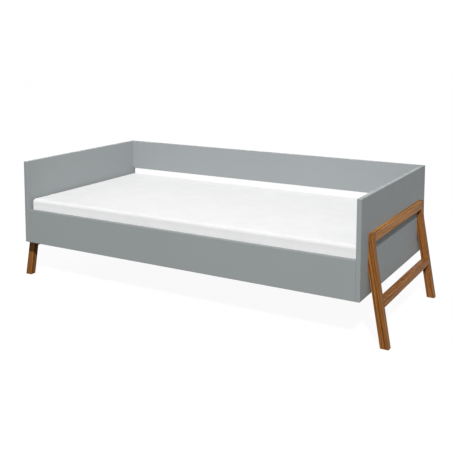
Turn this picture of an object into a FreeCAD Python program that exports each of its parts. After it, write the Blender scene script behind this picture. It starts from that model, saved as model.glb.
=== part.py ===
import FreeCAD, Part
import math
import os
from FreeCAD import Vector

os.makedirs("parts", exist_ok=True)

# Single bed for a child: lacquered boards round a slatted base, carried by a leaning
# trestle of stained wood outside each end panel, with a loose mattress on the slats.
# Millimetres. X runs from the head end to the foot end, Y from the open front to the
# rear, Z up from the floor. The origin is on the floor in the middle of the bed.

# Mattress
MATTRESS_LENGTH = 1600.0
MATTRESS_WIDTH = 800.0
MATTRESS_HEIGHT = 100.0
MATTRESS_ROOM = 5.0      # between the mattress corners and the boards around it
MATTRESS_SINK = 52.0     # slat tops below the top edge of the side rails
MATTRESS_CORNER = 20.0   # radius of the corners seen from above
MATTRESS_ROLL = 18.0     # radius of the rolled top edge
MATTRESS_SOLE = 10.0     # radius of the rolled bottom edge
MATTRESS_CROWN = 5.0     # rise of the middle above the rolled edge
CROWN_RUN = 220.0        # distance from the side over which the crown rises
SIDE_DRAW = 3.0          # each side is drawn in this far between its corners
WAIST_DRAW = 2.0         # the border is drawn in this far at half its height
SOFT_CLEARANCE = 0.3     # between the mattress and what carries it

# Lacquered boards
BOARD = 18.0
BOARD_ARRIS = 1.5
BOARD_LIFT = 192.0       # underside of the boards above the floor
PANEL_HEIGHT = 382.0
RAIL_HEIGHT = 155.0
BACK_HEIGHT = 152.0

# Leg frames
FRAME_TOP = 430.0        # top of the frame above the floor
FRAME_INSET = 83.0       # outer faces of the legs behind the edges of the end panel
LEG_WIDTH = 28.0
LEG_DEPTH = 32.5         # square to the lean
LEG_LEAN = 10.0          # degrees from upright
KNEE_HEIGHT = 300.0      # the inner face is planed upright above this and leans below it
SHOULDER_HEIGHT = 360.0  # the outer face bends towards upright above this
SHOULDER_BEND = 25.0     # length of the bend on each side of the shoulder
TOP_DEPTH = 19.0         # depth of the frame at its top
TOP_RAIL_HEIGHT = 34.0
STRETCHER_HEIGHT = 28.0
STRETCHER_LIFT = 150.0   # lower outer edge of the stretcher above the floor
WOOD_ARRIS = 2.0

# Slatted base
LEDGER_HEIGHT = 30.0
LEDGER_DEPTH = 20.0
LEDGER_END_ROOM = 60.0   # leaves the corner fittings free
SLAT_COUNT = 14
SLAT_WIDTH = 70.0
SLAT_THICKNESS = 18.0
SLAT_END_ROOM = 2.0      # between a slat end and the rail
SLAT_MARGIN = 30.0       # from an end panel to the first slat
SLAT_ARRIS = 2.5
TAPE_WIDTH = 20.0
TAPE_THICKNESS = 1.0
TAPE_INSET = 165.0       # from a rail to the middle of its webbing tape

# Fasteners and fittings
FIT = 0.1                # radial room of a pin, screw or insert in its hole
SCREW_DIAMETER = 4.0
SCREW_HEAD = 8.0
SCREW_SINK = 2.6         # height of the countersunk head
SCREW_BITE = 14.0        # length in the piece behind
LEDGER_SCREW_COUNT = 6
LEDGER_SCREW_INSET = 40.0
DOWEL_DIAMETER = 8.0
DOWEL_IN_PANEL = 12.0
DOWEL_IN_BOARD = 20.0
DOWEL_IN_LEG = 18.0
DOWEL_IN_BAR = 22.0
DOWEL_PITCH = 15.0       # between the two dowels of a leg frame joint
CAM_DIAMETER = 15.0
CAM_SET = 34.0           # cam centre from the board's end
CAM_EDGE = 32.0          # cam centre from the board's long edges
CAM_BELOW_AXIS = 3.5     # cam depth past the board's middle plane
CAM_SLOT_WIDTH = 1.6
CAM_SLOT_DEPTH = 2.0
CAM_BOLT_DIAMETER = 6.0
CAM_BOLT_IN_PANEL = 11.0
BOLT_DIAMETER = 6.0
BOLT_ROOM = 0.3          # radial room of the leg bolts in the panel
BOLT_HEAD = 14.0
BOLT_HEAD_HEIGHT = 2.5
BOLT_SOCKET = 4.0        # hexagon across its corners
BOLT_SOCKET_DEPTH = 2.0
BOLT_GRIP = 12.0         # length in the insert
BOLT_EDGE = 24.0         # from the knee, and from the top rail, to a bolt
INSERT_DIAMETER = 9.0
INSERT_LENGTH = 13.0

# Places that follow from the sizes above
INNER_LENGTH = MATTRESS_LENGTH + 2 * MATTRESS_ROOM
INNER_WIDTH = MATTRESS_WIDTH + 2 * MATTRESS_ROOM
OUTER_WIDTH = INNER_WIDTH + 2 * BOARD
JOINT_X = INNER_LENGTH / 2
PANEL_FACE = JOINT_X + BOARD
BOARD_MID_Y = OUTER_WIDTH / 2 - BOARD / 2
BOARD_TOP = BOARD_LIFT + PANEL_HEIGHT
RAIL_TOP = BOARD_LIFT + RAIL_HEIGHT
BACK_LIFT = BOARD_TOP - BACK_HEIGHT
SLAT_TOP = RAIL_TOP - MATTRESS_SINK
SLAT_UNDER = SLAT_TOP - SLAT_THICKNESS
MATTRESS_UNDER = SLAT_TOP + TAPE_THICKNESS + SOFT_CLEARANCE
LEG_MID_Y = OUTER_WIDTH / 2 - FRAME_INSET - LEG_WIDTH / 2
LEG_INNER_Y = LEG_MID_Y - LEG_WIDTH / 2
LEAN = math.radians(LEG_LEAN)

ALONG_X = Vector(1, 0, 0)
ALONG_Y = Vector(0, 1, 0)
UP = Vector(0, 0, 1)
ENDS = (("head", -1), ("foot", 1))
SIDES = (("front", -1), ("rear", 1))
SLIGHT = 0.01            # a difference too small to count, as a length or as a slope

solids = {}
holes = {}


def add(name, solid):
    """Keep one piece under its name, with an empty list of holes to drill in it."""
    solids[name] = solid
    holes[name] = []


def block(x, y, z):
    """Box between the low and high value of each axis."""
    low = Vector(min(x), min(y), min(z))
    return Part.makeBox(max(x) - low.x, max(y) - low.y, max(z) - low.z, low)


def rod(diameter, start, way):
    """Round bar from a point, along a vector and as long as it."""
    return Part.makeCylinder(diameter / 2, way.Length, start, way)


def soften(solid, radius, chosen):
    """Round the edges whose direction and middle point the test accepts."""
    picked = []
    for edge in solid.Edges:
        middle = edge.valueAt((edge.FirstParameter + edge.LastParameter) / 2)
        run = edge.Vertexes[-1].Point - edge.Vertexes[0].Point
        if chosen(run.normalize(), middle):
            picked.append(edge)
    return solid.makeFillet(radius, picked)


def parallel(run, axis):
    return run.cross(axis).Length < SLIGHT


def end_panel(end):
    x = (end * JOINT_X, end * PANEL_FACE)
    y = (-OUTER_WIDTH / 2, OUTER_WIDTH / 2)
    panel = block(x, y, (BOARD_LIFT, BOARD_TOP))
    return soften(panel, BOARD_ARRIS, lambda run, middle: True)


def long_board(side, low, high):
    """Board between the end panels, flush with their front or rear edges."""
    mid = side * BOARD_MID_Y
    board = block((-JOINT_X, JOINT_X), (mid - BOARD / 2, mid + BOARD / 2), (low, high))
    return soften(board, BOARD_ARRIS, lambda run, middle: parallel(run, ALONG_X))


for end_name, end in ENDS:
    add(end_name + "_panel", end_panel(end))
add("front_rail", long_board(-1, BOARD_LIFT, RAIL_TOP))
add("rear_rail", long_board(1, BOARD_LIFT, RAIL_TOP))
add("back_panel", long_board(1, BACK_LIFT, BOARD_TOP))


# Leg frames. A point of a frame is given by its reach, out from the panel's face, and
# its height. The legs lean, and their upper inner faces are planed to seat on the panel.

def inner_reach(height):
    return (KNEE_HEIGHT - height) * math.tan(LEAN)


def outer_reach(height):
    return inner_reach(height) + LEG_DEPTH / math.cos(LEAN)


def place(end, y, point):
    reach, height = point
    return Vector(end * (PANEL_FACE + reach), y, height)


def toward(start, goal, distance):
    span = math.dist(start, goal)
    share = distance / span
    return (start[0] + (goal[0] - start[0]) * share, start[1] + (goal[1] - start[1]) * share)


def rounded_corner(before, corner, after, length):
    """Start, middle and end of the arc that rounds a corner between two lines."""
    start = toward(corner, before, length)
    stop = toward(corner, after, length)
    chord = ((start[0] + stop[0]) / 2, (start[1] + stop[1]) / 2)
    half_turn = math.acos(math.dist(corner, chord) / length)
    rise = math.dist(start, chord) * math.tan((math.pi / 2 - half_turn) / 2)
    return start, toward(chord, corner, rise), stop


FOOT_OUT = (outer_reach(0), 0.0)
SHOULDER = (outer_reach(SHOULDER_HEIGHT), SHOULDER_HEIGHT)
TOP_OUT = (TOP_DEPTH, FRAME_TOP)
TOP_IN = (0.0, FRAME_TOP)
KNEE = (0.0, KNEE_HEIGHT)
FOOT_IN = (inner_reach(0), 0.0)


def leg(end, side):
    """Bent leg: foot, hollow shoulder outside, upright seat and sharp knee inside."""
    low_y = side * LEG_MID_Y - LEG_WIDTH / 2
    bend = rounded_corner(FOOT_OUT, SHOULDER, TOP_OUT, SHOULDER_BEND)
    spot = [place(end, low_y, p) for p in (FOOT_OUT, *bend, TOP_OUT, TOP_IN, KNEE, FOOT_IN)]
    outline = [
        Part.makeLine(spot[0], spot[1]),
        Part.Arc(spot[1], spot[2], spot[3]).toShape(),
        Part.makeLine(spot[3], spot[4]),
        Part.makeLine(spot[4], spot[5]),
        Part.makeLine(spot[5], spot[6]),
        Part.makeLine(spot[6], spot[7]),
        Part.makeLine(spot[7], spot[0]),
    ]
    solid = Part.Face(Part.Wire(outline)).extrude(ALONG_Y * LEG_WIDTH)

    def outside(run, middle):
        reach = abs(middle.x) - PANEL_FACE
        half_way = inner_reach(middle.z) + LEG_DEPTH / 2
        seen = reach > max(half_way, TOP_DEPTH / 2 + WOOD_ARRIS) and middle.z > WOOD_ARRIS
        return seen and not parallel(run, ALONG_Y)

    return soften(solid, WOOD_ARRIS, outside)


def bar(end, corners, rounded):
    """Straight bar between the legs, with some of its long edges rounded."""
    spot = [place(end, -LEG_INNER_Y, p) for p in corners]
    face = Part.Face(Part.makePolygon(spot + spot[:1]))
    solid = face.extrude(ALONG_Y * (2 * LEG_INNER_Y))
    soft = [place(end, 0, p) for p in rounded]

    def wanted(run, middle):
        near = min((middle - p).Length for p in soft)
        return parallel(run, ALONG_Y) and near < SLIGHT

    return soften(solid, WOOD_ARRIS, wanted)


def stretcher_corners():
    """Section square to the lean, flush with both faces of the legs."""
    across = (-LEG_DEPTH * math.cos(LEAN), -LEG_DEPTH * math.sin(LEAN))
    rise = (-STRETCHER_HEIGHT * math.sin(LEAN), STRETCHER_HEIGHT * math.cos(LEAN))
    low_out = (outer_reach(STRETCHER_LIFT), STRETCHER_LIFT)
    low_in = (low_out[0] + across[0], low_out[1] + across[1])
    high_in = (low_in[0] + rise[0], low_in[1] + rise[1])
    high_out = (low_out[0] + rise[0], low_out[1] + rise[1])
    return low_out, low_in, high_in, high_out


def top_rail_corners():
    """Upright seat inside, outer face in line with the tops of the legs."""
    under = FRAME_TOP - TOP_RAIL_HEIGHT
    slope = (SHOULDER[0] - TOP_OUT[0]) / (FRAME_TOP - SHOULDER_HEIGHT)
    low_out = (TOP_DEPTH + slope * TOP_RAIL_HEIGHT, under)
    return low_out, (0.0, under), TOP_IN, TOP_OUT


def middle_of(points):
    return tuple(sum(values) / len(points) for values in zip(*points))


STRETCHER = stretcher_corners()
TOP_RAIL = top_rail_corners()
STRETCHER_MID = middle_of(STRETCHER)
TOP_RAIL_MID = middle_of(TOP_RAIL)
HALF_PITCH = DOWEL_PITCH / 2
STRETCHER_DOWELS = [toward(STRETCHER_MID, middle_of(STRETCHER[1:3]), s * HALF_PITCH) for s in (-1, 1)]
TOP_RAIL_DOWELS = [(TOP_RAIL_MID[0], TOP_RAIL_MID[1] + s * HALF_PITCH) for s in (-1, 1)]

for end_name, end in ENDS:
    for side_name, side in SIDES:
        add(f"{end_name}_leg_{side_name}", leg(end, side))
    add(end_name + "_top_rail", bar(end, TOP_RAIL, (TOP_RAIL[0], TOP_RAIL[3])))
    add(end_name + "_stretcher", bar(end, STRETCHER, STRETCHER))

leg_dowels = []
for end_name, end in ENDS:
    for side_name, side in SIDES:
        for bar_name, points in (("top_rail", TOP_RAIL_DOWELS), ("stretcher", STRETCHER_DOWELS)):
            for point in points:
                start = place(end, side * (LEG_INNER_Y + DOWEL_IN_LEG), point)
                way = ALONG_Y * (-side * (DOWEL_IN_LEG + DOWEL_IN_BAR))
                room = ALONG_Y * (side * FIT)
                hole = rod(DOWEL_DIAMETER + 2 * FIT, start + room, way - room * 2)
                leg_dowels.append(rod(DOWEL_DIAMETER, start, way))
                holes[f"{end_name}_leg_{side_name}"].append(hole)
                holes[f"{end_name}_{bar_name}"].append(hole)
add("leg_dowels", Part.makeCompound(leg_dowels))


# Bolts from inside the bed, through the end panel, into threaded inserts in the legs.

BOLT_HEIGHTS = (KNEE_HEIGHT + BOLT_EDGE, FRAME_TOP - TOP_RAIL_HEIGHT - BOLT_EDGE)


def hexagon(centre, way, across):
    corners = []
    for step in range(7):
        angle = math.radians(60 * step)
        corners.append(centre + Vector(0, math.cos(angle), math.sin(angle)) * (across / 2))
    return Part.Face(Part.makePolygon(corners)).extrude(way)


leg_bolts = []
leg_inserts = []
for end_name, end in ENDS:
    for side_name, side in SIDES:
        for height in BOLT_HEIGHTS:
            out = ALONG_X * end
            seat = Vector(end * JOINT_X, side * LEG_MID_Y, height)
            mouth = seat + out * BOARD
            head_top = seat - out * BOLT_HEAD_HEIGHT
            head = rod(BOLT_HEAD, seat, out * -BOLT_HEAD_HEIGHT)
            shank = rod(BOLT_DIAMETER, seat, out * (BOARD + BOLT_GRIP))
            socket = hexagon(head_top, out * BOLT_SOCKET_DEPTH, BOLT_SOCKET)
            sleeve = rod(INSERT_DIAMETER, mouth, out * INSERT_LENGTH)
            thread = rod(BOLT_DIAMETER + 2 * FIT, mouth, out * INSERT_LENGTH)
            leg_bolts.append(head.fuse(shank).removeSplitter().cut(socket))
            leg_inserts.append(sleeve.cut(thread))
            holes[end_name + "_panel"].append(rod(BOLT_DIAMETER + 2 * BOLT_ROOM, seat, out * BOARD))
            pocket = rod(INSERT_DIAMETER + 2 * FIT, mouth, out * (INSERT_LENGTH + FIT))
            holes[f"{end_name}_leg_{side_name}"].append(pocket)
add("leg_bolts", Part.makeCompound(leg_bolts))
add("leg_inserts", Part.makeCompound(leg_inserts))


# Corner fittings: two cam locks and a dowel at each end of each long board. The cams
# of the rails turn from inside the bed, those of the back panel from its rear face.

CORNERS = (
    ("front_rail", -BOARD_MID_Y, 1, BOARD_LIFT, RAIL_TOP),
    ("rear_rail", BOARD_MID_Y, -1, BOARD_LIFT, RAIL_TOP),
    ("back_panel", BOARD_MID_Y, 1, BACK_LIFT, BOARD_TOP),
)
CAM_DEPTH = BOARD / 2 + CAM_BELOW_AXIS

cam_housings = []
cam_bolts = []
corner_dowels = []


def cam_slots(centre, into):
    """Crossed driver slots in the face of a cam."""
    half = CAM_DIAMETER / 2 - CAM_SLOT_WIDTH
    thin = CAM_SLOT_WIDTH / 2
    deep = (centre.y, centre.y + into * CAM_SLOT_DEPTH)
    level = block((centre.x - half, centre.x + half), deep, (centre.z - thin, centre.z + thin))
    upright = block((centre.x - thin, centre.x + thin), deep, (centre.z - half, centre.z + half))
    return level.fuse(upright)


for board_name, mid_y, face, low, high in CORNERS:
    for end_name, end in ENDS:
        inward = ALONG_X * -end
        panel_name = end_name + "_panel"
        for height in (low + CAM_EDGE, high - CAM_EDGE):
            joint = Vector(end * JOINT_X, mid_y, height)
            start = joint - inward * CAM_BOLT_IN_PANEL
            way = inward * (CAM_BOLT_IN_PANEL + CAM_SET)
            bolt_hole = rod(CAM_BOLT_DIAMETER + 2 * FIT, start - inward * FIT, way + inward * (2 * FIT))
            mouth = joint + inward * CAM_SET + ALONG_Y * (face * BOARD / 2)
            into = ALONG_Y * -face
            cam = rod(CAM_DIAMETER, mouth, into * CAM_DEPTH)
            cam_housings.append(cam.cut([bolt_hole, cam_slots(mouth, -face)]))
            cam_bolts.append(rod(CAM_BOLT_DIAMETER, start, way))
            cam_hole = rod(CAM_DIAMETER + 2 * FIT, mouth, into * (CAM_DEPTH + FIT))
            holes[board_name] += [bolt_hole, cam_hole]
            holes[panel_name].append(bolt_hole)
        joint = Vector(end * JOINT_X, mid_y, (low + high) / 2)
        start = joint - inward * DOWEL_IN_PANEL
        way = inward * (DOWEL_IN_PANEL + DOWEL_IN_BOARD)
        corner_dowels.append(rod(DOWEL_DIAMETER, start, way))
        dowel_hole = rod(DOWEL_DIAMETER + 2 * FIT, start - inward * FIT, way + inward * (2 * FIT))
        holes[board_name].append(dowel_hole)
        holes[panel_name].append(dowel_hole)
add("cam_housings", Part.makeCompound(cam_housings))
add("cam_bolts", Part.makeCompound(cam_bolts))
add("corner_dowels", Part.makeCompound(corner_dowels))


# Slatted base: ledgers screwed inside the rails, slats across them, two webbing tapes
# that hold the slats apart, and screws that hold the end slats down.

def screw_pair(head, way):
    """A countersunk screw, and the hole it sits in."""
    made = []
    for grow in (0.0, FIT):
        wide = SCREW_HEAD / 2 + grow
        slim = SCREW_DIAMETER / 2 + grow
        cone = Part.makeCone(wide, slim, SCREW_SINK, head, way)
        shank = Part.makeCylinder(slim, way.Length + grow, head, way)
        made.append(cone.fuse(shank).removeSplitter())
    return made


LEDGER_HALF = JOINT_X - LEDGER_END_ROOM
LEDGER_TOP = SLAT_UNDER
RAIL_INNER_Y = INNER_WIDTH / 2
SCREW_RUN = LEDGER_HALF - LEDGER_SCREW_INSET
ledger_screws = []
for side_name, side in SIDES:
    y = (side * RAIL_INNER_Y, side * (RAIL_INNER_Y - LEDGER_DEPTH))
    ledger_name = side_name + "_ledger"
    add(ledger_name, block((-LEDGER_HALF, LEDGER_HALF), y, (LEDGER_TOP - LEDGER_HEIGHT, LEDGER_TOP)))
    for index in range(LEDGER_SCREW_COUNT):
        x = -SCREW_RUN + index * 2 * SCREW_RUN / (LEDGER_SCREW_COUNT - 1)
        head = Vector(x, y[1], LEDGER_TOP - LEDGER_HEIGHT / 2)
        driven, hole = screw_pair(head, ALONG_Y * (side * (LEDGER_DEPTH + SCREW_BITE)))
        ledger_screws.append(driven)
        holes[ledger_name].append(hole)
        holes[side_name + "_rail"].append(hole)
add("ledger_screws", Part.makeCompound(ledger_screws))

SLAT_HALF = RAIL_INNER_Y - SLAT_END_ROOM
FIRST_SLAT = -JOINT_X + SLAT_MARGIN + SLAT_WIDTH / 2
SLAT_PITCH = -2 * FIRST_SLAT / (SLAT_COUNT - 1)
SLAT_SCREW_Y = RAIL_INNER_Y - LEDGER_DEPTH / 2
slat_screws = []
for index in range(SLAT_COUNT):
    middle_x = FIRST_SLAT + index * SLAT_PITCH
    name = f"slat_{index + 1:02d}"
    x = (middle_x - SLAT_WIDTH / 2, middle_x + SLAT_WIDTH / 2)
    slat = block(x, (-SLAT_HALF, SLAT_HALF), (SLAT_UNDER, SLAT_TOP))
    add(name, soften(slat, SLAT_ARRIS, lambda run, middle: parallel(run, ALONG_Y)))
    if index in (0, SLAT_COUNT - 1):
        for side_name, side in SIDES:
            head = Vector(middle_x, side * SLAT_SCREW_Y, SLAT_TOP)
            driven, hole = screw_pair(head, UP * -(SLAT_THICKNESS + SCREW_BITE))
            slat_screws.append(driven)
            holes[name].append(hole)
            holes[side_name + "_ledger"].append(hole)
add("slat_screws", Part.makeCompound(slat_screws))

TAPE_HALF = -FIRST_SLAT + SLAT_WIDTH / 2 - SLAT_ARRIS
for side_name, side in SIDES:
    mid = side * (RAIL_INNER_Y - TAPE_INSET)
    y = (mid - TAPE_WIDTH / 2, mid + TAPE_WIDTH / 2)
    add(side_name + "_slat_tape", block((-TAPE_HALF, TAPE_HALF), y, (SLAT_TOP, SLAT_TOP + TAPE_THICKNESS)))


# Mattress: level outlines with drawn-in sides, lofted from the sole, over the waist of
# the border and the rolled edge, up to the crown.

def mattress_outline(inset, height):
    """Four shallow arcs for the sides, joined by four corner arcs, at one height."""
    a = MATTRESS_LENGTH / 2 - inset
    b = MATTRESS_WIDTH / 2 - inset
    r = MATTRESS_CORNER
    cut = r * (1 - math.sqrt(0.5))
    quarter = [(a - r, -b), (a - cut, -b + cut), (a, -b + r), (a - SIDE_DRAW, 0.0)]
    across = [(a, b - r), (a - cut, b - cut), (a - r, b), (0.0, b - SIDE_DRAW)]
    right = quarter + across
    around = right + [(-x, -y) for x, y in right]
    spots = [Vector(x, y, height) for x, y in around]
    arcs = []
    for first in range(0, len(spots), 2):
        last = spots[(first + 2) % len(spots)]
        arcs.append(Part.Arc(spots[first], spots[first + 1], last).toShape())
    return Part.Wire(arcs)


SOLE_TURNS = (90, 45, 0)
ROLL_TURNS = (0, 30, 60, 80)
CROWN_SHARES = (0.25, 0.6, 1.0)


def rolled(radius, degrees):
    """How far a rolled edge has come in from the side, and how far it has yet to rise."""
    turn = math.radians(degrees)
    return radius * (1 - math.cos(turn)), radius * (1 - math.sin(turn))


def mattress():
    under = MATTRESS_UNDER
    edge_top = under + MATTRESS_HEIGHT - MATTRESS_CROWN
    levels = []
    for degrees in SOLE_TURNS:
        inset, rest = rolled(MATTRESS_SOLE, degrees)
        levels.append((inset, under + rest))
    levels.append((WAIST_DRAW, (under + MATTRESS_SOLE + edge_top - MATTRESS_ROLL) / 2))
    for degrees in ROLL_TURNS:
        inset, rest = rolled(MATTRESS_ROLL, degrees)
        levels.append((inset, edge_top - rest))
    for share in CROWN_SHARES:
        inset = MATTRESS_ROLL + (CROWN_RUN - MATTRESS_ROLL) * share
        levels.append((inset, edge_top + MATTRESS_CROWN * math.sin(share * math.pi / 2)))
    return Part.makeLoft([mattress_outline(*level) for level in levels], True, True)


add("mattress", mattress())

for name, solid in solids.items():
    if holes[name]:
        solid = solid.cut(holes[name])
    solid.exportStep(f"parts/{name}.step")
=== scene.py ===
import math
from typing import NamedTuple

import bpy
import numpy as np
from mathutils import Euler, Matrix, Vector


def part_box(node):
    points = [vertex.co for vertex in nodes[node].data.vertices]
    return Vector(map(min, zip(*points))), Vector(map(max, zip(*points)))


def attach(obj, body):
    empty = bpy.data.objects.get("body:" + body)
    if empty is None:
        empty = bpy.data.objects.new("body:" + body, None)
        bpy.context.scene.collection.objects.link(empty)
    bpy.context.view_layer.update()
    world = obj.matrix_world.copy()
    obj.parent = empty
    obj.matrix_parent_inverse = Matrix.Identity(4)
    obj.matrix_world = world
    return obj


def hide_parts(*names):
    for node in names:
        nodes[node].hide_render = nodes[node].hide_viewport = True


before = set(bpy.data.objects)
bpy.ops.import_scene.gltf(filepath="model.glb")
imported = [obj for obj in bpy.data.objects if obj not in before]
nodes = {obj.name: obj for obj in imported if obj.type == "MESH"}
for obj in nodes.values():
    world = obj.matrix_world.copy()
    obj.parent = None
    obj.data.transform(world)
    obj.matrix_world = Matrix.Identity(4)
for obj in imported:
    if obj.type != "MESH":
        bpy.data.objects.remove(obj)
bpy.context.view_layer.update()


class Wood(NamedTuple):
    """Kind of wood. Its tones are early wood, middle, dark streak and pore, in screen colours."""

    tones: tuple
    ring_width: float
    roughness: float


class Weave(NamedTuple):
    """Kind of cloth: two screen colours that it drifts between, and two threads' width each way."""

    colour: tuple
    shade: tuple
    warp: float
    weft: float
    relief: float
    sheen: float


# Metres and degrees. X runs from the head end to the foot end, Y from the open front to the
# rear, Z up from the floor. Screen colours run from 0 to 255.

# Camera
CAMERA_PLACE = (1.7198, -2.9843, 1.1517)
CAMERA_YAW = 30.398        # turned from +Y towards -X
CAMERA_PITCH = 6.062       # looking down
CAMERA_LENS = 60.314       # millimetres
CAMERA_SENSOR = 36.0       # millimetres wide
CAMERA_SHIFT = (0.0227, -0.24)

# Light, where a strength of 1 shows a colour as it is written
KEY_PLACE = (2.9, -4.8, 4.3)
KEY_STRENGTH = 0.95
KEY_RADIUS = 0.2
REAR_AZIMUTH = 215.0       # from -Y towards +X
REAR_ELEVATION = 6.0
REAR_STRENGTH = 0.45
REAR_WIDTH = 40.0          # how wide the lamp looks from the bed
SKY_STRENGTH = 0.42
FLOOR_HALF = 14.0
FLOOR_LINES = 9            # grid lines each way
FLOOR_BOUNCE = 0.04        # how much of its light the floor gives back to the bed
FLOOR_GLOW = 0.935         # the floor's own white, as the camera sees it
FLOOR_SHADE = 0.09         # the share of the floor's white that a shadow takes away

# Lacquered boards
LACQUER_DARK = (150, 155, 156)
LACQUER_PALE = (154, 159, 160)

# Wood
STAINED = Wood(
    tones=((186, 130, 70), (148, 92, 42), (86, 46, 16), (52, 26, 9)),
    ring_width=0.0032,
    roughness=0.42,
)
PINE = Wood(
    tones=((232, 205, 160), (222, 188, 138), (196, 150, 96), (170, 122, 74)),
    ring_width=0.006,
    roughness=0.6,
)
BEECH = Wood(
    tones=((222, 188, 150), (212, 174, 134), (194, 152, 110), (160, 116, 78)),
    ring_width=0.004,
    roughness=0.6,
)
GRAIN_ON_X = (0.0, -90.0, 0.0)
GRAIN_ON_Y = (90.0, 0.0, 0.0)
LEG_LEAN = 10.0
RING_WAVER = 0.016         # how wide a band the rings waver in
RING_DRIFT = 1.3           # how many rings the count of rings may drift by
RINGS_IN_STREAK = 2.7
STREAK_NOISE = 6.0         # how much noise is added to the wave that makes the dark streaks
EARLY_ROUGHER = 0.06       # early wood is rougher than the mean by this, and late wood smoother

# Places in the log. Pieces cut far apart along it show different grain.
BAR_PITH = 0.06            # from the middle of a leg frame's bar to the pith
BARS_APART = 0.9
FRAMES_APART = 8.0
SLAT_PITH = 0.12
SLATS_APART = 1.3
LEDGER_PITH = (0.05, 0.04)
LEDGERS_APART = 2.1
DOWEL_PITH = (0.3, 0.2)
GOLDEN_TURN = math.pi * (3 - math.sqrt(5))  # radians, a turn that never comes round again

# Red, green and blue of each bar, as a share of the stained wood: the top rails lighter and paler,
# the rear legs darker, the stretchers warmer
BAR_TINTS = {
    "leg_front": (1.0, 1.0, 1.0),
    "leg_rear": (0.88, 0.87, 0.97),
    "top_rail": (1.40, 1.52, 1.52),
    "stretcher": (1.0, 0.96, 0.90),
}

# Fittings
ZINC = (186, 188, 190)
ZINC_ROUGHNESS = 0.42
STEEL = (200, 200, 202)
STEEL_ROUGHNESS = 0.30
MARKS_ROUGHER = 0.08       # turning marks are rougher than the mean by this, or smoother
MARKS_DARKER = 0.8         # share of the metal's colour that is left in the darkest marks
MARKS_WAVES = (2600.0, 300.0, 300.0)  # in a metre along X, Y and Z

# Cloth
TICKING = Weave(
    colour=(230, 230, 230),
    shade=(227, 227, 227),
    warp=0.0024,
    weft=0.0018,
    relief=0.25,
    sheen=0.15,
)
WEBBING = Weave(
    colour=(214, 208, 194),
    shade=(202, 196, 182),
    warp=0.0022,
    weft=0.0016,
    relief=0.5,
    sheen=0.1,
)

# Mattress cover
COVER_FINE = 0.0025        # grid step in the rolled edges
COVER_COARSE = 0.014       # grid step elsewhere
COVER_ROLL = 0.015         # radius of the rolled top edge
COVER_SOLE = 0.008         # radius of the rolled bottom edge
COVER_CROWN = 0.003        # rise of the top from its rim to its middle
COVER_CROWN_RUN = 0.40     # from the side to the full rise of the crown
COVER_PROUD = 0.002        # how far the crown stands above the CAD solid
COVER_SIDE_DRAW = 0.003    # each side is drawn in this far between its corners
COVER_WAIST_DRAW = 0.0005  # the border is drawn in this far at half its height
SEAM_WIDTH = 0.0012
SEAM_SIDES = 6
SEAM_STITCH = 0.004        # length of one stitch
SEAM_SWELL = 0.2           # how much of its width the seam gains and loses at each stitch
STITCH_POINTS = 4

# How the cover settles on the foam. Stiffness, mass and pressure are in the solver's own units.
COVER_SLACK = 0.003        # how much longer the cloth is than the foam under it
COVER_HOLD = 0.35          # how firmly the foam holds the cloth
COVER_MOST = 0.004         # the most that a point of the cloth leaves the foam
COVER_FRAMES = 20
CLOTH_QUALITY = 5
CLOTH_MASS = 0.3
CLOTH_STRETCH = 15.0
CLOTH_SHEAR = 5.0
CLOTH_BENDING = 0.5
CLOTH_PRESSURE = 0.5
UNEVEN_HEIGHT = 0.0004     # height of the unevenness that the folds start from
UNEVEN_WAVES = 7
UNEVEN_LENGTH = 0.05       # each wave is longer than this, by one more step each time
UNEVEN_STEP = 0.023
UNEVEN_LEAN = 0.7          # run of the waves up the sides, as a share of their run along the top

# Staples that hold the webbing to the slats
TAPES = ("front_slat_tape", "rear_slat_tape")
STAPLE_CROWN = 0.010       # length of the flat back
STAPLE_WIRE = 0.0007
STAPLE_OFFSET = 0.018      # from the middle of a slat
STAPLE_SINK = 1.2          # how far the ends go down, in widths of the wire
STAPLE_BEND = 6            # the higher, the sharper the ends turn down
STAPLE_ROWS = 9
STAPLE_SIDES = 6

# Guards of the arithmetic
LEAST_LENGTH = 1e-9        # a shorter length is divided by as if it were this long
TOUCHING = 1e-6            # two places closer than this are one

WHITE = (1.0, 1.0, 1.0, 1.0)


def grey(level):
    return (level, level, level, 1.0)


def linear(screen):
    """Screen colour as the linear colour with alpha that a shader takes, by the sRGB curve."""
    share = np.array(screen) / 255
    low = share / 12.92
    high = ((share + 0.055) / 1.055) ** 2.4
    return (*np.where(share <= 0.04045, low, high), 1.0)


def tinted(colour, tint):
    """Colour with its red, green and blue multiplied by the tint, and held at 1."""
    return (*np.minimum(1.0, np.multiply(colour[:3], tint)), 1.0)


def between(first, second):
    """The colour half way between two colours."""
    return tuple((one + other) / 2 for one, other in zip(first, second))


def polar(radius, angle):
    """Point of a circle about the origin, at an angle in radians."""
    return radius * math.cos(angle), radius * math.sin(angle)


def middle_of(name):
    low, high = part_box(name)
    return (low + high) / 2


def slat_names():
    return sorted(name for name in nodes if name.startswith("slat_") and name != "slat_screws")


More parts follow.
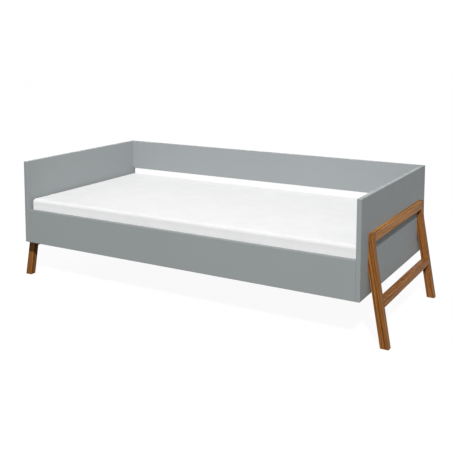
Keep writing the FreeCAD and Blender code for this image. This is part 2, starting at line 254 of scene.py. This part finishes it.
class Tree:
    """Node tree of a material, a lamp or the world. Each call adds a node and gives its output."""

    def __init__(self, owner):
        owner.use_nodes = True
        self.tree = owner.node_tree
        self.tree.nodes.clear()

    def add(self, kind, inputs, output=0, **settings):
        """Node of that kind: numbers are set on its inputs, outputs of other nodes are linked."""
        node = self.tree.nodes.new("ShaderNode" + kind)
        for key, value in settings.items():
            setattr(node, key, value)
        for key, value in inputs.items():
            if isinstance(value, bpy.types.NodeSocket):
                self.tree.links.new(value, node.inputs[key])
            else:
                node.inputs[key].default_value = value
        return node.outputs[output]

    def math(self, operation, first, second=0.0):
        return self.add("Math", {0: first, 1: second}, operation=operation)

    def vector(self, operation, first, second):
        return self.add("VectorMath", {0: first, 1: second}, operation=operation)

    def length(self, vector):
        return self.add("VectorMath", {0: vector}, output=1, operation="LENGTH")

    def wave(self, place, length):
        """Sine wave of that length along a place."""
        return self.math("SINE", self.math("MULTIPLY", place, 2 * math.pi / length))

    def mix(self, share, first, second):
        """Mix of two colours. The node's colour sockets are inputs 6 and 7 and output 2."""
        inputs = {0: share, 6: first, 7: second}
        return self.add("Mix", inputs, output=2, data_type="RGBA")

    def noise(self, place, scale, detail=2.0, output=0):
        return self.add("TexNoise", {"Vector": place, "Scale": scale, "Detail": detail}, output)

    def spread(self, value, low, high, to_low, to_high):
        """Value moved from one span to another, and held at its ends."""
        return self.add("MapRange", {0: value, 1: low, 2: high, 3: to_low, 4: to_high})

    def laid_over(self, colour, tone, value, start, full, share):
        """Colour under a tone, of which none shows below the start and its share above the full."""
        return self.mix(self.spread(value, start, full, 0.0, share), colour, tone)

    def ramp(self, share, stops):
        """Colour that runs through the stops, each a place from 0 to 1 and a colour."""
        node = self.tree.nodes.new("ShaderNodeValToRGB")
        self.tree.links.new(share, node.inputs[0])
        band = node.color_ramp.elements
        while len(band) < len(stops):
            band.new(0.5)
        for element, (place, colour) in zip(band, stops):
            element.position = place
            element.color = colour
        return node.outputs[0]

    def bump(self, height, strength, distance):
        inputs = {"Strength": strength, "Distance": distance, "Height": height}
        return self.add("Bump", inputs)

    def surface(self, **inputs):
        """Principled surface as the material's output. Names are written with _ for a space."""
        named = {key.replace("_", " "): value for key, value in inputs.items()}
        self.close(self.add("BsdfPrincipled", named))

    def close(self, shader, output="OutputMaterial"):
        end = self.tree.nodes.new("ShaderNode" + output)
        self.tree.links.new(shader, end.inputs["Surface"])


def place_in(tree, turn=(0.0, 0.0, 0.0), move=(0.0, 0.0, 0.0)):
    """Object coordinates, turned about the axes by degrees and then moved."""
    place = tree.add("TexCoord", {}, output="Object")
    angles = tuple(math.radians(angle) for angle in turn)
    return tree.add("Mapping", {"Vector": place, "Rotation": angles, "Location": move})


# Finishes


def grey_lacquer():
    """Satin lacquer: one grey with a faint cloud, an orange-peel skin and uneven gloss."""
    material = bpy.data.materials.new("grey_lacquer_satin")
    tree = Tree(material)
    place = place_in(tree)
    cloud = tree.noise(place, scale=3.0)
    peel = tree.noise(place, scale=260.0, detail=1.0)
    polish = tree.noise(place, scale=22.0, detail=3.0)
    colour = tree.mix(cloud, linear(LACQUER_DARK), linear(LACQUER_PALE))
    gloss = tree.spread(polish, low=0.3, high=0.7, to_low=0.45, to_high=0.55)
    skin = tree.bump(peel, strength=0.06, distance=0.0006)
    tree.surface(Base_Color=colour, Roughness=gloss, Normal=skin, Specular_IOR_Level=0.04)
    return material


def grain_noise(tree, place, across, along, detail=2.0, output=0):
    """Long thin noise: so many waves in a metre across the grain, and so many along it."""
    stretched = tree.vector("MULTIPLY", place, (across, across, along))
    return tree.noise(stretched, 1.0, detail, output)


def ring_count(tree, place, ring_width):
    """How many rings lie between a place and the pith line.

    The place wavers by a low noise, its distance from the pith line is divided by the ring width,
    and the count drifts by a finer noise.
    """
    waver = grain_noise(tree, place, across=16.0, along=3.0, detail=4.0, output=1)
    waver = tree.vector("SUBTRACT", waver, (0.5, 0.5, 0.5))
    waver = tree.vector("MULTIPLY", waver, (RING_WAVER, RING_WAVER, 0.0))
    flat = tree.vector("MULTIPLY", tree.vector("ADD", place, waver), (1.0, 1.0, 0.0))
    count = tree.math("DIVIDE", tree.length(flat), ring_width)
    drift = grain_noise(tree, place, across=60.0, along=5.0)
    return tree.math("ADD", count, tree.math("MULTIPLY", drift, RING_DRIFT))


def timber(name, wood, turn, middle, pith, shift, tint=(1.0, 1.0, 1.0)):
    """Solid wood, worked out in the bar's own depth.

    The place is turned so that the grain runs along Z, and moved so that the bar's middle lies
    beside the pith line. The fraction of the count of rings runs from pale early wood to darker
    late wood. A wave over every few rings, upset by long thin noise, gives dark streaks, more such
    noise gives pale streaks and fine dark ones, and the thinnest noise gives pores.
    """
    material = bpy.data.materials.new(name)
    tree = Tree(material)
    light, plain, dark, pore = (tinted(linear(tone), tint) for tone in wood.tones)
    angles = Euler([math.radians(angle) for angle in turn])
    centre = angles.to_matrix() @ Vector(middle)
    place = place_in(tree, turn, (pith[0] - centre.x, pith[1] - centre.y, shift - centre.z))

    count = ring_count(tree, place, wood.ring_width)
    ring = tree.math("FRACT", count)
    late = between(plain, dark)
    colour = tree.ramp(ring, [(0.0, light), (0.55, plain), (0.85, late), (1.0, light)])

    upset = grain_noise(tree, place, across=150.0, along=2.4)
    upset = tree.math("MULTIPLY", upset, STREAK_NOISE)
    broad = tree.math("ADD", tree.wave(count, RINGS_IN_STREAK), upset)
    colour = tree.laid_over(colour, dark, broad, start=2.4, full=4.4, share=0.85)
    pale = grain_noise(tree, place, across=120.0, along=2.0, detail=1.0)
    colour = tree.laid_over(colour, light, pale, start=0.52, full=0.68, share=0.5)
    fine = grain_noise(tree, place, across=420.0, along=7.0, detail=3.0)
    colour = tree.laid_over(colour, dark, fine, start=0.50, full=0.75, share=0.5)

    pores = grain_noise(tree, place, across=1300.0, along=40.0, detail=1.0)
    pore_share = tree.spread(pores, low=0.60, high=0.70, to_low=0.0, to_high=0.6)
    colour = tree.mix(pore_share, colour, pore)
    rough, smooth = wood.roughness + EARLY_ROUGHER, wood.roughness - EARLY_ROUGHER
    gloss = tree.spread(ring, low=0.0, high=0.9, to_low=rough, to_high=smooth)
    relief = tree.bump(tree.math("SUBTRACT", fine, pore_share), strength=0.12, distance=0.0008)
    tree.surface(Base_Color=colour, Roughness=gloss, Normal=relief, Specular_IOR_Level=0.04)
    return material


def machined_metal(name, screen, roughness):
    """Metal with fine turning marks: bands round X by noise, and a little unevenness of gloss."""
    material = bpy.data.materials.new(name)
    tree = Tree(material)
    colour = linear(screen)
    darker = tinted(colour, MARKS_DARKER)
    bands = tree.vector("MULTIPLY", place_in(tree), MARKS_WAVES)
    marks = tree.noise(bands, scale=1.0)
    tone = tree.mix(marks, colour, darker)
    smooth, rough = roughness - MARKS_ROUGHER, roughness + MARKS_ROUGHER
    gloss = tree.spread(marks, low=0.3, high=0.7, to_low=smooth, to_high=rough)
    relief = tree.bump(marks, strength=0.1, distance=0.0002)
    tree.surface(Base_Color=tone, Metallic=1.0, Roughness=gloss, Normal=relief)
    return material


def woven(name, weave):
    """Plain weave in Object coordinates: two crossed waves, raised where one thread lies on top.

    The height is added to both directions, so that upright faces show threads too.
    """
    material = bpy.data.materials.new(name)
    tree = Tree(material)
    place = place_in(tree)
    x, y, z = (tree.add("SeparateXYZ", {0: place}, output=axis) for axis in "XYZ")
    warp = tree.wave(tree.math("ADD", x, z), weave.warp)
    weft = tree.wave(tree.math("ADD", y, z), weave.weft)
    threads = tree.math("MULTIPLY", warp, weft)
    fuzz = tree.noise(place, scale=900.0)
    cloud = tree.noise(place, scale=14.0, detail=3.0)
    share = tree.spread(cloud, low=0.35, high=0.65, to_low=0.0, to_high=1.0)
    height = tree.math("ADD", threads, fuzz)
    tree.surface(
        Base_Color=tree.mix(share, linear(weave.colour), linear(weave.shade)),
        Roughness=0.85,
        Normal=tree.bump(height, weave.relief, distance=0.0004),
        Sheen_Weight=weave.sheen,
        Sheen_Roughness=0.4,
        Specular_IOR_Level=0.25,
        Diffuse_Roughness=0.3,
    )
    return material


def paint(material, *names):
    """Give CAD nodes their finish."""
    for name in names:
        slots = nodes[name].data.materials
        slots.clear()
        slots.append(material)


def finish_boards():
    paint(grey_lacquer(), "head_panel", "foot_panel", "back_panel", "front_rail", "rear_rail")


def finish_leg_frames():
    """The pith lies off a corner of each bar, so that straight grain runs along all its faces."""
    for end, lean, start in (("head", -LEG_LEAN, 0.0), ("foot", LEG_LEAN, FRAMES_APART)):
        for index, (bar, tint) in enumerate(BAR_TINTS.items()):
            name = f"{end}_{bar}"
            turn = (0.0, lean, 0.0) if bar.startswith("leg") else GRAIN_ON_Y
            pith = polar(BAR_PITH, math.radians(45 + 90 * index))
            shift = BARS_APART * index + start
            wood = timber(name + "_wood", STAINED, turn, middle_of(name), pith, shift, tint)
            paint(wood, name)


def finish_base():
    """Pine slats and ledgers, each from its own place in the log, and the webbing over them."""
    for index, name in enumerate(slat_names()):
        pith = polar(SLAT_PITH, GOLDEN_TURN * index)
        shift = SLATS_APART * index
        paint(timber(name + "_pine", PINE, GRAIN_ON_Y, middle_of(name), pith, shift), name)
    for index, (name, side) in enumerate((("front_ledger", 1), ("rear_ledger", -1))):
        pith = (LEDGER_PITH[0], side * LEDGER_PITH[1])
        shift = LEDGERS_APART * index
        paint(timber(name + "_pine", PINE, GRAIN_ON_X, middle_of(name), pith, shift), name)
    paint(woven("slat_webbing", WEBBING), *TAPES)


def finish_fittings():
    """Zinc cams, beech dowels and steel for the rest. Gives the steel, which the staples share."""
    zinc = machined_metal("zinc_casting", ZINC, ZINC_ROUGHNESS)
    steel = machined_metal("bright_steel", STEEL, STEEL_ROUGHNESS)
    beech = timber("dowel_beech", BEECH, GRAIN_ON_Y, (0.0, 0.0, 0.0), DOWEL_PITH, 0.0)
    paint(zinc, "cam_housings")
    paint(steel, "cam_bolts", "leg_bolts", "leg_inserts", "ledger_screws", "slat_screws")
    paint(beech, "leg_dowels", "corner_dowels")
    return steel


# Surfaces


def add_object(name, data):
    made = bpy.data.objects.new(name, data)
    bpy.context.scene.collection.objects.link(made)
    return made


def mesh_object(name, points, faces, material):
    mesh = bpy.data.meshes.new(name)
    mesh.from_pydata(points.reshape(-1, 3), [], faces.reshape(-1, 4).tolist())
    mesh.materials.append(material)
    return add_object(name, mesh)


def make_piece(name, points, faces, material, body):
    """Smooth mesh of the points and faces, which rides on a body and takes a slot's finish."""
    piece = mesh_object(name, points, faces, material)
    piece.data.shade_smooth()
    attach(piece, body)
    return piece


def quads(sheet):
    """Four-cornered faces between neighbouring rows and columns of a grid of point numbers."""
    corners = (sheet[:-1, :-1], sheet[1:, :-1], sheet[1:, 1:], sheet[:-1, 1:])
    return np.stack(corners, axis=-1).reshape(-1, 4)


def tube_quads(rows, sides, looped):
    """Faces of a tube whose rows close on themselves. A looped tube's last row joins its first."""
    numbers = np.arange(rows * sides).reshape(rows, sides)
    return quads(np.pad(numbers, ((0, int(looped)), (0, 1)), mode="wrap"))


def grid_lines(half, edge):
    """Places from -half to half: fine steps within the edge at both ends, coarse steps between."""
    fine_count = math.ceil(edge / COVER_FINE)
    coarse_count = math.ceil(2 * (half - edge) / COVER_COARSE)
    near = np.linspace(-half, -half + edge, fine_count, endpoint=False)
    middle = np.linspace(-half + edge, half - edge, coarse_count + 1)
    return np.concatenate([near, middle, -near[::-1]])


def box_shell(xs, ys, zs):
    """Points and faces of a closed box with those grid lines on its six sides."""
    lattice = np.stack(np.meshgrid(xs, ys, zs, indexing="ij"), axis=-1)
    outer = np.ones(lattice.shape[:3], bool)
    outer[1:-1, 1:-1, 1:-1] = False
    number = np.full(outer.shape, -1)
    number[outer] = np.arange(outer.sum())
    sides = (
        quads(number[:, :, -1]),
        quads(number[:, :, 0].T),
        quads(number[-1]),
        quads(number[0].T),
        quads(number[:, -1].T),
        quads(number[:, 0]),
    )
    return lattice[outer], np.concatenate(sides)


def lengths_of(vectors):
    return np.linalg.norm(vectors, axis=1)


class MattressForm:
    """Shape of the foam: a box with rolled edges, drawn-in sides and a crowned top.

    Its border stands between the lower seam and the upper seam.
    """

    def __init__(self):
        low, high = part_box("mattress")
        self.low = low.z
        self.high = high.z + COVER_PROUD - COVER_CROWN
        self.lower_seam = self.low + COVER_SOLE
        self.upper_seam = self.high - COVER_ROLL
        self.half = np.array([high.x, high.y])

    def grid(self):
        """Grid lines of the plain box along X, Y and Z, fine in the rolled edges."""
        xs, ys = (grid_lines(half, COVER_ROLL) for half in self.half)
        fine_count = math.ceil(COVER_ROLL / COVER_FINE)
        coarse_count = math.ceil((self.upper_seam - self.lower_seam) / COVER_COARSE)
        sole = np.linspace(self.low, self.lower_seam, fine_count, endpoint=False)
        border = np.linspace(self.lower_seam, self.upper_seam, coarse_count, endpoint=False)
        roll = np.linspace(self.upper_seam, self.high, fine_count + 1)
        return xs, ys, np.concatenate([sole, border, roll])

    def on_seam(self, points):
        """Whether each point of the plain box lies on one of the two seams."""
        on_border = (np.abs(points[:, :2]) >= self.half - TOUCHING).any(axis=1)
        height = points[:, 2]
        return on_border & (np.isclose(height, self.lower_seam) | np.isclose(height, self.upper_seam))

    def shaped(self, points):
        """Points of a plain box, moved onto the foam.

        Each point is pulled back onto a box that is smaller by the roll's radius, and pushed out
        again by that radius along the way it was pulled, which rounds every edge. The radius grows
        from the sole to the top. Then each side comes in by a parabola between its corners and by a
        half wave between its two seams, and the upper half rises by a quarter wave from each side.
        """
        rise = (points[:, 2] - self.low) / (self.high - self.low)
        radius = COVER_SOLE + (COVER_ROLL - COVER_SOLE) * rise
        inner = points.copy()
        for axis in (0, 1):
            reach = self.half[axis] - radius
            inner[:, axis] = np.clip(points[:, axis], -reach, reach)
        inner[:, 2] = np.clip(points[:, 2], self.lower_seam, self.upper_seam)
        pulled = points - inner
        way = pulled / np.maximum(lengths_of(pulled), LEAST_LENGTH)[:, None]
        shaped = inner + way * radius[:, None]
        share = shaped[:, :2] / self.half
        climb = (shaped[:, 2] - self.lower_seam) / (self.upper_seam - self.lower_seam)
        waist = np.sin(np.pi * np.clip(climb, 0, 1))
        drawn = COVER_SIDE_DRAW * (1 - share[:, ::-1] ** 2) + COVER_WAIST_DRAW * waist[:, None]
        shaped[:, 2] += COVER_CROWN * self.crown_share(shaped) * np.clip(2 * rise - 1, 0, 1)
        shaped[:, :2] *= 1 - drawn / self.half
        return shaped

    def crown_share(self, points):
        """Share of the crown's rise: the product of a quarter wave from each pair of sides."""
        inset = np.clip((self.half - np.abs(points[:, :2])) / COVER_CROWN_RUN, 0, 1)
        return np.prod(np.sin(inset * np.pi / 2), axis=1)

    def outline(self, height, step):
        """Points of the foam's outline at one height, evenly spaced, and the ways out of it."""
        xs, ys, _ = self.grid()
        a, b = self.half
        sides = (
            np.stack([xs, np.full_like(xs, -b)], axis=1)[:-1],
            np.stack([np.full_like(ys, a), ys], axis=1)[:-1],
            np.stack([xs[::-1], np.full_like(xs, b)], axis=1)[:-1],
            np.stack([np.full_like(ys, -a), ys[::-1]], axis=1)[:-1],
        )
        flat = np.concatenate(sides)
        loop = self.shaped(np.column_stack([flat, np.full(len(flat), height)]))
        closed = np.vstack([loop, loop[:1]])
        along = np.concatenate([[0], np.cumsum(lengths_of(np.diff(closed, axis=0)))])
        count = round(along[-1] / step)
        spots = np.arange(count) * along[-1] / count
        even = np.stack([np.interp(spots, along, closed[:, axis]) for axis in range(3)], axis=1)
        ahead = np.roll(even, -1, axis=0) - np.roll(even, 1, axis=0)
        out = np.stack([ahead[:, 1], -ahead[:, 0], np.zeros(count)], axis=1)
        return even, out / lengths_of(out)[:, None]


def unevenness(points):
    """Smooth uneven height: the mean of a few waves that run at different angles and lengths."""
    total = np.zeros(len(points))
    for index in range(1, UNEVEN_WAVES + 1):
        way = np.array([*polar(1.0, GOLDEN_TURN * index), UNEVEN_LEAN])
        length = UNEVEN_LENGTH + UNEVEN_STEP * index
        total += np.sin(points @ way * 2 * np.pi / length + index)
    return total / UNEVEN_WAVES


def set_points(piece, points):
    piece.data.vertices.foreach_set("co", points.ravel())
    piece.data.update()


def simulated(piece, hold):
    """Points of a cloth that is cut a little too long, after it has come to rest.

    Each point is held where it started, as firmly as its hold says.
    """
    group = piece.vertex_groups.new(name="held_by_foam")
    for weight in np.unique(hold):
        group.add(np.flatnonzero(hold == weight).tolist(), float(weight), "REPLACE")
    cloth = piece.modifiers.new("cover", "CLOTH")
    settings = cloth.settings
    settings.vertex_group_mass = group.name
    settings.pin_stiffness = 1.0
    settings.quality = CLOTH_QUALITY
    settings.mass = CLOTH_MASS
    settings.tension_stiffness = CLOTH_STRETCH
    settings.compression_stiffness = CLOTH_STRETCH
    settings.shear_stiffness = CLOTH_SHEAR
    settings.bending_stiffness = CLOTH_BENDING
    settings.shrink_min = -COVER_SLACK
    settings.effector_weights.gravity = 0.0
    settings.use_pressure = True
    settings.uniform_pressure_force = CLOTH_PRESSURE
    cloth.collision_settings.use_collision = False
    cloth.point_cache.frame_start = 1
    cloth.point_cache.frame_end = COVER_FRAMES
    scene = bpy.context.scene
    for step in range(1, COVER_FRAMES + 1):
        scene.frame_set(step)
    settled = piece.evaluated_get(bpy.context.evaluated_depsgraph_get()).data
    points = np.empty(len(settled.vertices) * 3)
    settled.vertices.foreach_get("co", points)
    piece.modifiers.remove(cloth)
    piece.vertex_groups.clear()
    scene.frame_set(1)
    return points.reshape(-1, 3)


def settle_cover(cover, form, box, foam):
    """Let the cover settle on the foam, held tight at its seams, and keep it near the foam."""
    rough = foam.copy()
    rough[:, 2] += UNEVEN_HEIGHT * unevenness(foam)
    set_points(cover, rough)
    moved = simulated(cover, np.where(form.on_seam(box), 1.0, COVER_HOLD)) - foam
    kept = np.minimum(1, COVER_MOST / np.maximum(lengths_of(moved), LEAST_LENGTH))
    cloth = foam + moved * kept[:, None]
    cloth[:, 2] = np.maximum(cloth[:, 2], form.low)
    set_points(cover, cloth)


def make_mattress():
    """Cover of the mattress, with its cloth settled on the foam, and the two seams round it."""
    form = MattressForm()
    box, faces = box_shell(*form.grid())
    foam = form.shaped(box)
    fabric = woven("mattress_ticking", TICKING)
    cover = make_piece("mattress_cover", foam, faces, fabric, "mattress")
    settle_cover(cover, form, box, foam)
    smooth = cover.modifiers.new("smooth", "SUBSURF")
    smooth.levels = 1
    smooth.render_levels = 1
    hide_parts("mattress")
    make_seam("mattress_lower_seam", form, form.lower_seam, fabric)
    make_seam("mattress_upper_seam", form, form.upper_seam, fabric)


def make_seam(name, form, height, fabric):
    """Sewn edge: a thin cord round the mattress, whose thickness swells once for each stitch."""
    middle, out = form.outline(height, SEAM_STITCH / STITCH_POINTS)
    stitch = np.arange(len(middle)) * 2 * np.pi / STITCH_POINTS
    radius = SEAM_WIDTH / 2 * (1 - SEAM_SWELL + SEAM_SWELL * np.cos(stitch))
    turn = np.arange(SEAM_SIDES) * 2 * np.pi / SEAM_SIDES
    up = np.array([0.0, 0.0, 1.0])
    section = np.cos(turn)[None, :, None] * out[:, None] + np.sin(turn)[None, :, None] * up
    points = middle[:, None] + section * radius[:, None, None]
    faces = tube_quads(len(middle), SEAM_SIDES, looped=True)
    make_piece(name, points, faces, fabric, "mattress")


def staple_wire():
    """Points of one staple: a round wire along Y, whose ends sink by a high power of their place."""
    run = np.linspace(-0.5, 0.5, STAPLE_ROWS)
    sink = STAPLE_WIRE * STAPLE_SINK * np.abs(2 * run) ** STAPLE_BEND
    turn = np.arange(STAPLE_SIDES) * 2 * np.pi / STAPLE_SIDES
    wire = np.empty((STAPLE_ROWS, STAPLE_SIDES, 3))
    wire[..., 0] = STAPLE_WIRE / 2 * np.cos(turn)[None]
    wire[..., 1] = STAPLE_CROWN * run[:, None]
    wire[..., 2] = STAPLE_WIRE / 2 * np.sin(turn)[None] - sink[:, None]
    return wire.reshape(-1, 3)


def make_staples(steel):
    """Two staples where a tape crosses a slat.

    The middle of their wire lies a quarter of its width below the top of the tape.
    """
    spots = []
    for tape in TAPES:
        middle = middle_of(tape)
        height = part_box(tape)[1].z - STAPLE_WIRE / 4
        for slat in slat_names():
            for side in (-1, 1):
                spots.append((middle_of(slat).x + side * STAPLE_OFFSET, middle.y, height))
    wire = staple_wire()
    points = wire + np.array(spots)[:, None]
    one = tube_quads(STAPLE_ROWS, STAPLE_SIDES, looped=False)[:, ::-1]
    faces = one + (np.arange(len(spots)) * len(wire))[:, None, None]
    make_piece("tape_staples", points, faces, steel, "bed_frame")


# Studio


def seen_directly(tree):
    """1 for rays from the camera, off gloss and through glass, 0 for light that spreads."""
    rays = ("Is Camera Ray", "Is Glossy Ray", "Is Transmission Ray")
    camera, gloss, glass = (tree.add("LightPath", {}, output=ray) for ray in rays)
    return tree.math("MAXIMUM", tree.math("MAXIMUM", camera, gloss), glass)


def studio_floor():
    """To look at, a white glow and a share that shadows darken. For the bounce, a darker matt."""
    material = bpy.data.materials.new("studio_floor")
    tree = Tree(material)
    glow = tree.add("Emission", {"Color": WHITE, "Strength": FLOOR_GLOW})
    shade = tree.add("BsdfDiffuse", {"Color": grey(FLOOR_SHADE)})
    seen = tree.add("AddShader", {0: glow, 1: shade})
    bounce = tree.add("BsdfDiffuse", {"Color": grey(FLOOR_BOUNCE)})
    tree.close(tree.add("MixShader", {0: seen_directly(tree), 1: bounce, 2: seen}))
    return material


def make_floor():
    """Flat square grid at the height of the feet, which is the studio's and not the bed's."""
    lines = np.linspace(-FLOOR_HALF, FLOOR_HALF, FLOOR_LINES)
    points = np.stack(np.meshgrid(lines, lines, [0.0], indexing="ij"), axis=-1)
    faces = quads(np.arange(FLOOR_LINES ** 2).reshape(FLOOR_LINES, FLOOR_LINES))
    floor = mesh_object("floor", points, faces, studio_floor())
    return floor


def make_world():
    """White to look at, and a dimmer even sky for the light that it gives."""
    world = bpy.data.worlds.new("studio")
    bpy.context.scene.world = world
    tree = Tree(world)
    sky = tree.add("Background", {"Color": WHITE, "Strength": SKY_STRENGTH})
    seen = tree.add("Background", {"Color": WHITE, "Strength": 1.0})
    tree.close(tree.add("MixShader", {0: seen_directly(tree), 1: sky, 2: seen}), "OutputWorld")


def linked_to(name, piece, state):
    """Group for a lamp's links: the piece alone is included, or it alone is left out."""
    group = bpy.data.collections.new(name)
    group.objects.link(piece)
    group.collection_objects[0].light_linking.link_state = state
    return group


def make_near_lamp(name):
    """Lamp behind the camera and above it, as strong all along the bed. Gives the lamp's links.

    With no falloff, 4 pi squared watts show a face square to the lamp in its own colour.
    """
    lamp = bpy.data.lights.new(name, "POINT")
    lamp.energy = 4 * math.pi ** 2 * KEY_STRENGTH
    lamp.shadow_soft_size = KEY_RADIUS
    tree = Tree(lamp)
    even = tree.add("LightFalloff", {"Strength": 1.0}, output="Constant")
    tree.close(tree.add("Emission", {"Strength": even}), "OutputLight")
    near = add_object(name, lamp)
    near.location = KEY_PLACE
    return near.light_linking


def make_key_lamps(floor):
    """Two lamps in one place: one for the bed, and one for the floor with the bed's whole shadow.

    The foot panel throws no shadow on the bed, so that the mattress is lit evenly up to that panel.
    """
    on_bed = make_near_lamp("key_lamp")
    on_bed.receiver_collection = linked_to("all_but_floor", floor, "EXCLUDE")
    on_bed.blocker_collection = linked_to("all_but_foot_panel", nodes["foot_panel"], "EXCLUDE")
    on_floor = make_near_lamp("floor_lamp")
    on_floor.receiver_collection = linked_to("floor_alone", floor, "INCLUDE")


def make_rear_lamp():
    """Wide distant lamp, low behind the head end.

    Pi watts for each square metre show a face square to the lamp in its own colour.
    """
    lamp = bpy.data.lights.new("rear_lamp", "SUN")
    lamp.energy = REAR_STRENGTH * math.pi
    lamp.angle = math.radians(REAR_WIDTH)
    turn, rise = math.radians(REAR_AZIMUTH), math.radians(REAR_ELEVATION)
    flat = math.cos(rise)
    toward = Vector((math.sin(turn) * flat, -math.cos(turn) * flat, math.sin(rise)))
    add_object("rear_lamp", lamp).rotation_euler = toward.to_track_quat("Z", "Y").to_euler()


def make_camera():
    view = bpy.data.cameras.new("camera")
    view.sensor_width = CAMERA_SENSOR
    view.lens = CAMERA_LENS
    view.shift_x, view.shift_y = CAMERA_SHIFT
    camera = add_object("camera", view)
    camera.location = CAMERA_PLACE
    camera.rotation_euler = (math.radians(90 - CAMERA_PITCH), 0.0, math.radians(CAMERA_YAW))
    bpy.context.scene.camera = camera


finish_boards()
finish_leg_frames()
finish_base()
bright_steel = finish_fittings()
make_mattress()
make_staples(bright_steel)
make_key_lamps(make_floor())
make_rear_lamp()
make_world()
make_camera()
bpy.context.scene.view_settings.view_transform = "Standard"
